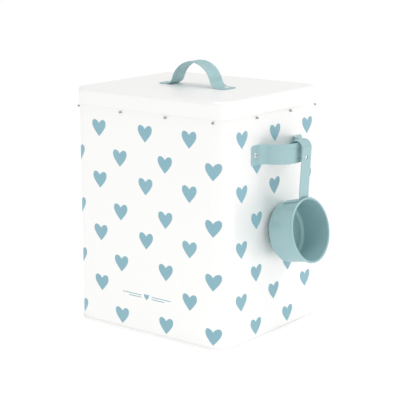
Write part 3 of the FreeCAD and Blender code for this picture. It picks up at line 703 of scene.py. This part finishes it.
def bow_mesh(bow, rise, half_length, width):
    """A bow handle that stands on the XY plane: foot, bend, beaded bow, bend and foot, along X."""
    half_sheet = bow.sheet / 2
    middle = bow.radius - half_sheet
    drop = bow.radius - rise
    bend_level = half_sheet + bow.bend_radius
    reach = math.sqrt((middle + bow.bend_radius) ** 2 - (bend_level + drop) ** 2)
    lean = math.atan2(bend_level + drop, reach)
    foot = half_length - reach
    bead_place = width / 2 - bow.bead_inset
    bead = [bead_place + bow.bead_half_width * quarter / 4 for quarter in range(-4, 5)]
    crown = [CROWN_SPACING * index for index in range(1, 5)]
    side = [*crown, *bead, (bead[-1] + width / 2) / 2, width / 2]
    across = [-place for place in reversed(side)] + [0.0] + side
    bm = bmesh.new()
    origin = Vector((-half_length, 0, half_sheet))
    sideways = Vector((0, 1, 0))
    up = Vector((0, 0, 1))
    section = strip_section(bm, across, bow.sheet, bow.edge_round, origin, sideways, up)
    travels = corner_travels(bow.foot_corner, CORNER_STEPS)
    rest = foot - bow.foot_corner
    for travel in travels:
        section = draw_out(bm, section, (travel, 0, 0))
    section = draw_out(bm, section, (rest, 0, 0))
    bend = math.pi / 2 - lean
    section = turn(bm, section, (-reach, 0, bend_level), (0, -1, 0), bend, BEND_STEPS)
    section = turn(bm, section, (0, 0, -drop), (0, 1, 0), math.pi - 2 * lean, BOW_STEPS)
    section = turn(bm, section, (reach, 0, bend_level), (0, -1, 0), bend, BEND_STEPS)
    section = draw_out(bm, section, (rest, 0, 0))
    for travel in reversed(travels):
        section = draw_out(bm, section, (travel, 0, 0))
    close_ends(bm)
    centre = Vector((0, 0, -drop))
    for vertex in bm.verts:
        from_end = half_length - abs(vertex.co.x)
        if from_end < bow.foot_corner:
            short = bow.foot_corner - from_end
            half = width / 2 - bow.foot_corner + math.sqrt(max(bow.foot_corner**2 - short**2, 0))
            vertex.co.y *= half / (width / 2)
            continue
        radial = Vector((vertex.co.x, 0, vertex.co.z)) - centre
        angle = math.atan2(radial.z, abs(radial.x))
        fade = smooth_step((angle - lean) / BEAD_RISE)
        if radial.length < middle - bow.sheet or abs(vertex.co.x) > reach:
            continue
        from_bead = abs(abs(vertex.co.y) - bead_place) / bow.bead_half_width
        raised = bow.bead_stand * math.cos(math.pi / 2 * from_bead) ** 2 if from_bead < 1 else 0
        if abs(vertex.co.y) < bead_place - bow.bead_half_width:
            share = abs(vertex.co.y) / (bead_place - bow.bead_half_width)
            raised = bow.crown * (1 - share**4)
        vertex.co += radial.normalized() * raised * fade
    return bm


class TIN_OT_bows(bpy.types.Operator):
    """The two bow handles: one on the lid, and one on the side that the scoop hangs from"""

    bl_idname = "storage_tin.bows"
    bl_label = "Make the bow handles"

    def execute(self, context):
        bow = in_mm(context.scene.tin_bow)
        size = LID_BOW_HIGH - LID_BOW_LOW
        bm = bow_mesh(bow, size.z - bow.bead_stand, size.x / 2, size.y)
        bm.transform(Matrix.Translation((0, 0, LID_BOW_LOW.z)))
        make_piece(context, "lid_bow", bm, "teal_enamel", "lid", ("lid_handle",), True)
        size = SIDE_BOW_HIGH - SIDE_BOW_LOW
        middle = (SIDE_BOW_HIGH + SIDE_BOW_LOW) / 2
        bm = bow_mesh(bow, size.x - bow.bead_stand, size.y / 2, size.z)
        # X to Y, Y to Z and Z to X
        turned = Matrix.Rotation(math.radians(120), 4, Vector((1, 1, 1)))
        bm.transform(Matrix.Translation((SIDE_BOW_LOW.x, middle.y, middle.z)) @ turned)
        make_piece(context, "side_bow", bm, "teal_enamel", "tin", ("side_handle",), True)
        return {"FINISHED"}


# ---------------------------------------------------------------- rivets and pins

# the pins at the left front and right back corners, counted from the front right corner
FAR_CORNER_PINS = (3, 9)
PIN_END_ROUND = 0.9
# the clenched inner end: its thickness, and its gap to the wall
PIN_WASHER = 0.6
PIN_WASHER_GAP = 0.1

RIVETS = {
    "lid_rivet_left": ("lid_handle_rivet_left", "lid"),
    "lid_rivet_right": ("lid_handle_rivet_right", "lid"),
    "side_rivet_front": ("side_handle_rivet_front", "tin"),
    "side_rivet_rear": ("side_handle_rivet_rear", "tin"),
}


class TIN_OT_rivets(bpy.types.Operator):
    """The four blind rivets, with their domed heads and swollen tails"""

    bl_idname = "storage_tin.rivets"
    bl_label = "Make the rivets"

    def execute(self, context):
        rivet = in_mm(context.scene.tin_rivets)
        for name, (node, body) in RIVETS.items():
            low, high = (corner * TO_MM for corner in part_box(node))
            middle = (low + high) / 2
            bm = bmesh.new()
            tail = -(rivet.grip + rivet.tail_length)
            profile = [
                (rivet.bore, 0, rivet.head_height),
                (rivet.bore, 0, tail),
                (rivet.tail_radius, 0, tail),
                (rivet.tail_radius, 0, -rivet.grip),
                (rivet.radius, 0, -rivet.grip),
                (rivet.radius, 0, 0),
                (rivet.head_radius, 0, 0),
                (rivet.head_radius, 0, rivet.head_height),
            ]
            vertices, _ = wire(bm, profile, closed=True)
            round_corners(bm, [vertices[2], vertices[3]], 0.7, 3)
            round_corners(bm, [vertices[7]], rivet.head_height * 0.85, 8)
            round_corners(bm, [vertices[0]], 0.2, 2)
            lathe(bm, 40)
            if body == "lid":
                seat = Matrix.Translation((middle.x, middle.y, high.z - rivet.head_height))
            else:
                seat = Matrix.Translation((high.x - rivet.head_height, middle.y, middle.z))
                seat = seat @ Matrix.Rotation(math.pi / 2, 4, "Y")
            bm.transform(seat)
            make_piece(context, name, bm, "rivet_metal", body, (node,))
        return {"FINISHED"}


class TIN_OT_pins(bpy.types.Operator):
    """The small pins that stand out of the wall just under the lid"""

    bl_idname = "storage_tin.pins"
    bl_label = "Make the lid pins"

    def execute(self, context):
        pin = in_mm(context.scene.tin_rivets)
        tin = in_mm(context.scene.tin_sizes)
        level = (PIN_LOW.z + PIN_HIGH.z) / 2
        nodes = sorted(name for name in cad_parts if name.startswith("lid_stop_"))
        spacing = wall_length(tin.corner_radius) / len(nodes)
        for index, node in enumerate(nodes):
            bm = bmesh.new()
            clench = tin.sheet + PIN_WASHER_GAP
            profile = [
                (0, 0, pin.pin_reach),
                (pin.pin_radius, 0, pin.pin_reach),
                (pin.pin_radius, 0, 0),
                (pin.pin_shank, 0, 0),
                (pin.pin_shank, 0, -clench),
                (pin.pin_clench, 0, -clench),
                (pin.pin_clench, 0, -clench - PIN_WASHER),
                (0, 0, -clench - PIN_WASHER),
            ]
            vertices, _ = wire(bm, profile)
            round_corners(bm, [vertices[1]], PIN_END_ROUND, 5)
            round_corners(bm, [vertices[6]], PIN_WASHER / 2, 2)
            lathe(bm, 24)
            distance = pin.pin_start + spacing * index
            if index in FAR_CORNER_PINS:
                distance += pin.pin_shift
            place, outward = along_wall(distance, level, 0, tin.corner_radius)
            turned = outward.to_track_quat("Z", "Y").to_matrix().to_4x4()
            bm.transform(Matrix.Translation(place) @ turned)
            make_piece(context, f"lid_pin_{index + 1:02d}", bm, "bare_pin", "tin", (node,))
        return {"FINISHED"}


class TIN_OT_mandrels(bpy.types.Operator):
    """The finish of the broken stubs inside the rivets"""

    bl_idname = "storage_tin.mandrels"
    bl_label = "Finish the rivet stubs"

    def execute(self, context):
        steel = finish_named(context, "mandrel_steel")
        for name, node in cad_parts.items():
            if "mandrel" in name:
                node.data.materials.clear()
                node.data.materials.append(steel)
        return {"FINISHED"}


# ---------------------------------------------------------------- the scoop

# how far the roll's middle stands outside the cup's wall, as a share of the roll's radius
ROLL_STAND = 0.35
# how wide the pressed ring's slope is, as a share of its depth
PRESS_SLOPE = 1.4
# the strap curls round the cup over this much of its length above the foot
CURL_RUN = 9.0
CURL_STEPS = 6
STRAP_GAP = 0.02
# the foot lies within this height of where the strap comes down
FOOT_REACH = 20.0


def cup_place(scoop):
    """The cup's own frame: its axis is Z, towards the mouth, with the origin at its base."""
    roll = scoop.mouth_radius + scoop.rim_radius * ROLL_STAND
    rim = Vector(
        (
            CUP_HIGH.x - roll * math.sin(scoop.tilt) - scoop.rim_radius,
            (CUP_LOW.y + CUP_HIGH.y) / 2,
            CUP_HIGH.z - roll * math.cos(scoop.tilt) - scoop.rim_radius,
        )
    )
    turned = Matrix.Rotation(math.pi / 2 - scoop.tilt, 4, "Y")
    back = turned @ Vector((0, 0, scoop.depth - scoop.rim_radius))
    return Matrix.Translation(rim - back) @ turned


class TIN_OT_cup(bpy.types.Operator):
    """The scoop's cup: a tapered wall, a rolled rim, and a base with a ring pressed into it"""

    bl_idname = "storage_tin.cup"
    bl_label = "Make the scoop's cup"

    def execute(self, context):
        scoop = in_mm(context.scene.tin_scoop)
        slope = (scoop.mouth_radius - scoop.base_radius) / scoop.depth
        stand = scoop.rim_radius * ROLL_STAND
        roll = Vector((scoop.mouth_radius + stand, 0, scoop.depth - scoop.rim_radius))
        bm = bmesh.new()
        # round the roll, from where the wall's outside meets it to its inner side
        start = roll + Vector((-0.5, 0, -math.sqrt(0.75))) * scoop.rim_radius
        first = bm.verts.new(start)
        turn(bm, [first], roll, (0, -1, 0), math.radians(300), 15)
        inner_side = roll - Vector((scoop.rim_radius, 0, 0))
        inner_end = min(bm.verts, key=lambda vertex: (vertex.co - inner_side).length)
        inner_foot = scoop.base_radius - scoop.sheet
        press = scoop.base_press
        outside = [
            (0, 0, press),
            (scoop.base_ring, 0, press),
            (scoop.base_ring + press * PRESS_SLOPE, 0, 0),
            (scoop.base_radius, 0, 0),
        ]
        inside = [
            (0, 0, press + scoop.sheet),
            (scoop.base_ring, 0, press + scoop.sheet),
            (scoop.base_ring + press * PRESS_SLOPE, 0, scoop.sheet),
            (inner_foot + slope * scoop.sheet, 0, scoop.sheet),
        ]
        outer_line, _ = wire(bm, outside)
        inner_line, _ = wire(bm, inside)
        bm.edges.new((outer_line[-1], first))
        bm.edges.new((inner_line[-1], inner_end))
        round_corners(bm, [outer_line[1], outer_line[2], inner_line[1], inner_line[2]], 0.5, 3)
        round_corners(bm, [outer_line[3]], scoop.base_round, 8)
        round_corners(bm, [inner_line[3]], scoop.base_round - scoop.sheet, 8)
        lathe(bm, 112)
        bm.transform(cup_place(scoop))
        make_piece(context, "scoop_bowl", bm, "teal_enamel", "scoop", ("scoop_cup",))
        return {"FINISHED"}


class TIN_OT_strap(bpy.types.Operator):
    """The scoop's strap: a hook over the side handle, a hole, and a foot that hugs the cup"""

    bl_idname = "storage_tin.strap"
    bl_label = "Make the scoop's strap"

    def execute(self, context):
        scoop = in_mm(context.scene.tin_scoop)
        half = scoop.strap_sheet / 2
        radius = scoop.hook_radius + half
        reach = radius + half
        middle = (STRAP_LOW.y + STRAP_HIGH.y) / 2
        hook = Vector((STRAP_HIGH.x - reach, middle, STRAP_HIGH.z - reach))
        cup = cup_place(scoop)
        taper = (scoop.mouth_radius - scoop.base_radius) / scoop.depth
        behind = scoop.setback + half
        side = scoop.mouth_radius - taper * behind
        landing = cup @ Vector((-side, 0, scoop.depth - behind))
        span = hook - landing
        lean = math.atan2(span.x, span.z) + math.asin(radius / span.length)
        down = Vector((-math.sin(lean), 0, -math.cos(lean)))
        outward = Vector((math.cos(lean), 0, -math.sin(lean)))
        # the foot's own way along the cup's side, towards the base, and the way off the cup
        to_base = (cup.to_3x3() @ Vector((taper, 0, -1))).normalized()
        off_cup = (cup.to_3x3() @ Vector((-1, 0, -taper))).normalized()
        corner = landing + off_cup * (half + STRAP_GAP)
        turn_angle = math.acos(down.dot(to_base))
        tangent = scoop.foot_bend * math.tan(turn_angle / 2)
        top = hook + outward * radius
        # the corner's place on the strap's own line
        side_step = (corner - top).dot(outward)
        corner += to_base * (side_step / -to_base.dot(outward))
        drop = (corner - top).dot(down)
        bm = bmesh.new()
        half_width = scoop.strap_width / 2
        side_places = [half_width * index / 8 for index in range(1, 9)]
        across = [-place for place in reversed(side_places)] + [0.0] + side_places
        tail_top = hook - outward * radius
        tail_end = tail_top + down * scoop.hook_tail
        section = strip_section(
            bm, across, scoop.strap_sheet, scoop.edge_round, tail_end, Vector((0, 1, 0)), outward
        )
        corner_radius = scoop.strap_corner
        travels = corner_travels(corner_radius, 5)
        for travel in travels:
            section = draw_out(bm, section, -down * travel)
        section = draw_out(bm, section, -down * (scoop.hook_tail - corner_radius))
        section = turn(bm, section, hook, (0, 1, 0), math.pi, 32)
        straight = drop - tangent
        section = draw_out(bm, section, down * (straight - CURL_RUN))
        for _ in range(CURL_STEPS):
            section = draw_out(bm, section, down * CURL_RUN / CURL_STEPS)
        bend_centre = top + down * straight - outward * scoop.foot_bend
        section = turn(bm, section, bend_centre, (0, 1, 0), turn_angle, 8)
        foot = scoop.foot_length - tangent
        section = draw_out(bm, section, to_base * (foot - corner_radius))
        for travel in reversed(travels):
            section = draw_out(bm, section, to_base * travel)
        close_ends(bm)
        foot_end = corner + to_base * scoop.foot_length
        back = cup.inverted()
        up_cup = cup.to_3x3() @ Vector((-1, 0, 0))
        foot_level = scoop.mouth_radius + 2 * scoop.strap_sheet
        for vertex in bm.verts:
            offset = vertex.co.y - middle
            from_tail = (tail_end - vertex.co).dot(down)
            if vertex.co.x < hook.x and -0.1 < from_tail < corner_radius:
                offset *= rounded_share(from_tail, corner_radius, half_width)
            from_foot = (foot_end - vertex.co).dot(to_base)
            if from_foot < corner_radius and vertex.co.z < landing.z + FOOT_REACH:
                offset *= rounded_share(from_foot, corner_radius, half_width)
            vertex.co.y = middle + offset
            local = back @ vertex.co
            height = -local.x
            curved = smooth_step((foot_level + CURL_RUN - height) / CURL_RUN)
            if curved > 0:
                bend_radius = scoop.mouth_radius - taper * (scoop.depth - local.z) + half
                sag = bend_radius - math.sqrt(bend_radius**2 - offset**2)
                vertex.co -= up_cup * sag * curved
        cutter = bmesh.new()
        bmesh.ops.create_cone(
            cutter,
            cap_ends=True,
            cap_tris=False,
            segments=48,
            radius1=scoop.hole_radius,
            radius2=scoop.hole_radius,
            depth=6 * scoop.strap_sheet,
        )
        hole_place = top + down * scoop.hole_drop
        turned = outward.to_track_quat("Z", "Y").to_matrix().to_4x4()
        cutter.transform(Matrix.Translation(hole_place) @ turned)
        bm = cut_out(context, bm, cutter)
        make_piece(context, "scoop_strap", bm, "teal_enamel", "scoop", ("scoop_handle",), True)
        return {"FINISHED"}


def rounded_share(from_end, corner_radius, half_width):
    """How wide a rounded strip end is at this distance from its tip, as a share of its full width."""
    short = corner_radius - max(from_end, 0)
    return (half_width - corner_radius + math.sqrt(max(corner_radius**2 - short**2, 0))) / half_width


def cut_out(context, bm, cutter):
    """The first mesh less the second."""
    objects = []
    for name, part in (("blank", bm), ("cutter", cutter)):
        bmesh.ops.recalc_face_normals(part, faces=part.faces[:])
        mesh = bpy.data.meshes.new(name)
        part.to_mesh(mesh)
        part.free()
        objects.append(bpy.data.objects.new(name, mesh))
        context.scene.collection.objects.link(objects[-1])
    blank, tool = objects
    boolean = blank.modifiers.new("hole", "BOOLEAN")
    boolean.operation = "DIFFERENCE"
    boolean.solver = "EXACT"
    boolean.object = tool
    context.view_layer.update()
    cut = bpy.data.meshes.new_from_object(blank.evaluated_get(context.evaluated_depsgraph_get()))
    result = bmesh.new()
    result.from_mesh(cut)
    for item in objects:
        bpy.data.objects.remove(item)
    return result


# ---------------------------------------------------------------- the print

# half a heart, from the notch to the lobe, the widest part and the tip: knots with their handles
HEART_RUNS = (
    ((0, 14.4), (1.2, 16.6), (3.8, 18.4), (6.1, 18.4), 10),
    ((6.1, 18.4), (8.4, 18.4), (9.8, 16.4), (9.7, 13.8), 8),
    ((9.7, 13.8), (9.6, 9.3), (4.2, 4.4), (0, 0), 14),
)
EVEN_TIPS = (214.8, 157.3, 97.4, 39.6)
ODD_TIPS = (184.3, 124.4, 66.5, 6.9)
# how far some of the print's columns lie off an even spacing, by the column's number
EVEN_SHIFTS = {0: 0.4, 1: -1.9, 2: 3.4, 3: 0.8, 4: 0.4, 11: -3.0}
ODD_SHIFTS = {0: 0.9, 1: 2.1, 2: 3.6, 3: 1.5, 4: 4.5, 10: 0.6}


def heart_face(bm, across, level, scale=1.0):
    """A flat heart with its tip at this place."""
    half = []
    for *run, count in HEART_RUNS:
        half += interpolate_bezier(*[Vector((x, y, 0)) for x, y in run], count)[:-1]
    points = half + [Vector((0, 0, 0))] + [Vector((-point.x, point.y, 0)) for point in reversed(half[1:])]
    place = Vector((across, level, 0))
    return bm.faces.new([bm.verts.new(place + point * scale) for point in points])


def wrap_print(bm, ink, corner_radius):
    """Cuts flat print where the wall's corners bend, gives it thickness and lays it round the wall."""
    length_round = wall_length(corner_radius)
    quarter = corner_radius * math.pi / 2
    sides = (2 * (HALF_DEPTH - corner_radius), 2 * (HALF_WIDTH - corner_radius)) * 2
    start = -quarter / 2
    for side in sides:
        for index in range(CORNER_SEGMENTS + 1):
            line = start + quarter * index / CORNER_SEGMENTS
            for turned in (-1, 0, 1):
                place = (line + turned * length_round, 0, 0)
                near = [face for face in bm.faces if crosses(face, place[0])]
                if near:
                    parts = {item for face in near for item in (*face.verts, *face.edges)}
                    bmesh.ops.bisect_plane(
                        bm, geom=list(parts) + near, plane_co=place, plane_no=(1, 0, 0)
                    )
        start += quarter + side
    bmesh.ops.solidify(bm, geom=bm.faces[:], thickness=ink)
    lowest = min(vertex.co.z for vertex in bm.verts)
    for vertex in bm.verts:
        growth = vertex.co.z - lowest
        vertex.co, _ = along_wall(vertex.co.x, vertex.co.y, growth, corner_radius)


def crosses(face, line):
    places = [vertex.co.x for vertex in face.verts]
    return min(places) < line - 1e-4 and max(places) > line + 1e-4


class TIN_OT_hearts(bpy.types.Operator):
    """The printed hearts, in staggered columns all round the wall"""

    bl_idname = "storage_tin.hearts"
    bl_label = "Print the hearts"

    def execute(self, context):
        tin = in_mm(context.scene.tin_sizes)
        ink = in_mm(context.scene.tin_print)
        pitch = wall_length(tin.corner_radius) / ink.columns
        bm = bmesh.new()
        for column in range(ink.columns):
            even = ink.even_start + pitch * column + EVEN_SHIFTS.get(column, 0.0)
            odd = ink.odd_start + pitch * column + ODD_SHIFTS.get(column, 0.0)
            for row, level in enumerate(EVEN_TIPS):
                # the lowest heart in the middle of the front makes room for the small motif
                if column > 0 or row < len(EVEN_TIPS) - 1:
                    heart_face(bm, even, level)
            for level in ODD_TIPS:
                heart_face(bm, odd, level)
        wrap_print(bm, ink.ink, tin.corner_radius)
        make_piece(context, "printed_hearts", bm, "printed_ink", "tin")
        return {"FINISHED"}


# the little heart's place above the lowest row and its size, beside those of the printed hearts
MOTIF_LIFT = 0.5
MOTIF_SCALE = 0.36
# the rules: each one's half length, and how far it lies above the lowest row
MOTIF_RULES = ((13.5, 5.1), (9.0, 2.5))
RULE_START = 7.0
RULE_HALF_HEIGHT = 0.45
RULE_ROUND = 0.4


class TIN_OT_motif(bpy.types.Operator):
    """A small plain motif low on the front: a little heart between two thin rules"""

    bl_idname = "storage_tin.motif"
    bl_label = "Print the motif"

    def execute(self, context):
        tin = in_mm(context.scene.tin_sizes)
        ink = in_mm(context.scene.tin_print)
        middle = ink.even_start
        level = EVEN_TIPS[-1]
        bm = bmesh.new()
        heart_face(bm, middle, level + MOTIF_LIFT, MOTIF_SCALE)
        for side in (-1, 1):
            for half_run, lift in MOTIF_RULES:
                plate = bmesh.ops.create_grid(bm, x_segments=1, y_segments=1, size=1.0)["verts"]
                bmesh.ops.scale(bm, vec=(half_run, RULE_HALF_HEIGHT, 1), verts=plate)
                place = (middle + side * (RULE_START + half_run), level + lift, 0)
                bmesh.ops.translate(bm, vec=place, verts=plate)
                round_corners(bm, plate, RULE_ROUND, 3)
        wrap_print(bm, ink.ink, tin.corner_radius)
        make_piece(context, "printed_motif", bm, "printed_ink", "tin")
        return {"FINISHED"}


# ---------------------------------------------------------------- the stage

CAMERA_PLACE = Vector((0.8739, -1.1117, 0.4565))
CAMERA_TARGET = Vector((0.0037, 0.0, 0.1366))
CAMERA_LENS = 115.6
CAMERA_ROLL = math.radians(-0.165)

FLOOR_REACH = 14.0
FLOOR_GLOW = 0.34
ROOM_BRIGHTNESS = 0.78
LIGHTS_AIM = Vector((0.01, 0, 0.14))

# name: azimuth, elevation, distance, side, power
SOFT_LIGHTS = {
    "front_light": (62, 20, 2.0, 0.3, 1.4),
    "left_light": (-20, 22, 2.2, 0.4, 1.4),
    "right_light": (124, 44, 2.0, 0.3, 5.2),
    "top_light": (60, 78, 2.0, 0.5, 7.0),
}


class TIN_OT_stage(bpy.types.Operator):
    """A plain pale floor, soft lights and the camera"""

    bl_idname = "storage_tin.stage"
    bl_label = "Set the stage"

    def execute(self, context):
        scene = context.scene
        bm = bmesh.new()
        bmesh.ops.create_grid(bm, x_segments=1, y_segments=1, size=FLOOR_REACH)
        mesh = bpy.data.meshes.new("floor")
        bm.to_mesh(mesh)
        bm.free()
        floor = bpy.data.objects.new("floor", mesh)
        scene.collection.objects.link(floor)
        material, tree, coordinates, shader = new_finish("pale_floor")
        tint = mix_colours(
            tree,
            noise(tree, coordinates, 3.0, (-900, 300)),
            (0.86, 0.86, 0.86),
            (0.84, 0.84, 0.84),
            (-300, 300),
        )
        tree.links.new(tint, shader.inputs["Base Color"])
        shader.inputs["Roughness"].default_value = 0.9
        shader.inputs["Specular IOR Level"].default_value = 0.1
        shader.inputs["Emission Color"].default_value = (1, 1, 1, 1)
        shader.inputs["Emission Strength"].default_value = FLOOR_GLOW
        mesh.materials.append(material)
        for name, (azimuth, elevation, distance, side, power) in SOFT_LIGHTS.items():
            light = bpy.data.lights.new(name, "AREA")
            light.shape = "SQUARE"
            light.size = side
            light.energy = power
            lamp = bpy.data.objects.new(name, light)
            turn_round = math.radians(azimuth)
            rise = math.radians(elevation)
            way = Vector(
                (
                    math.sin(turn_round) * math.cos(rise),
                    -math.cos(turn_round) * math.cos(rise),
                    math.sin(rise),
                )
            )
            lamp.location = LIGHTS_AIM + way * distance
            lamp.rotation_mode = "QUATERNION"
            lamp.rotation_quaternion = way.to_track_quat("Z", "Y")
            scene.collection.objects.link(lamp)
        world = bpy.data.worlds.new("studio")
        world.use_nodes = True
        background = world.node_tree.nodes["Background"]
        background.inputs["Color"].default_value = (1.0, 1.0, 1.0, 1.0)
        background.inputs["Strength"].default_value = ROOM_BRIGHTNESS
        scene.world = world
        scene.view_settings.view_transform = "Standard"
        data = bpy.data.cameras.new("camera")
        data.lens = CAMERA_LENS
        data.sensor_width = 36.0
        data.clip_start = 0.05
        data.clip_end = 60.0
        camera = bpy.data.objects.new("camera", data)
        camera.location = CAMERA_PLACE
        camera.rotation_mode = "QUATERNION"
        aim = (CAMERA_TARGET - CAMERA_PLACE).to_track_quat("-Z", "Y")
        camera.rotation_quaternion = aim @ Matrix.Rotation(CAMERA_ROLL, 3, "Z").to_quaternion()
        scene.collection.objects.link(camera)
        bpy.context.scene.camera = camera
        return {"FINISHED"}


# ---------------------------------------------------------------- the add-on

STEPS = (
    TIN_OT_stage,
    TIN_OT_wall,
    TIN_OT_base,
    TIN_OT_lid,
    TIN_OT_bows,
    TIN_OT_rivets,
    TIN_OT_mandrels,
    TIN_OT_pins,
    TIN_OT_cup,
    TIN_OT_strap,
    TIN_OT_hearts,
    TIN_OT_motif,
)


class TIN_PT_panel(bpy.types.Panel):
    """Lists the steps that make the tin"""

    bl_idname = "TIN_PT_panel"
    bl_label = "Storage Tin"
    bl_space_type = "VIEW_3D"
    bl_region_type = "UI"
    bl_category = "Storage Tin"

    def draw(self, context):
        for step in STEPS:
            self.layout.operator(step.bl_idname)
        for group in GROUPS:
            box = self.layout.box()
            settings = getattr(context.scene, group)
            for name in settings.bl_rna.properties.keys():
                if name not in ("rna_type", "name"):
                    box.prop(settings, name)


GROUPS = {
    "tin_sizes": TinSizes,
    "tin_lid": LidSizes,
    "tin_bow": BowSizes,
    "tin_rivets": RivetSizes,
    "tin_scoop": ScoopSizes,
    "tin_print": PrintSizes,
    "tin_finishes": Finishes,
}


def register():
    for group, kind in GROUPS.items():
        bpy.utils.register_class(kind)
        setattr(bpy.types.Scene, group, PointerProperty(type=kind))
    for kind in (*STEPS, TIN_PT_panel):
        bpy.utils.register_class(kind)


def unregister():
    for kind in (TIN_PT_panel, *reversed(STEPS)):
        bpy.utils.unregister_class(kind)
    for group, kind in GROUPS.items():
        delattr(bpy.types.Scene, group)
        bpy.utils.unregister_class(kind)


def main():
    register()
    for step in STEPS:
        family, name = step.bl_idname.split(".")
        getattr(getattr(bpy.ops, family), name)()


if __name__ == "__main__":
    main()
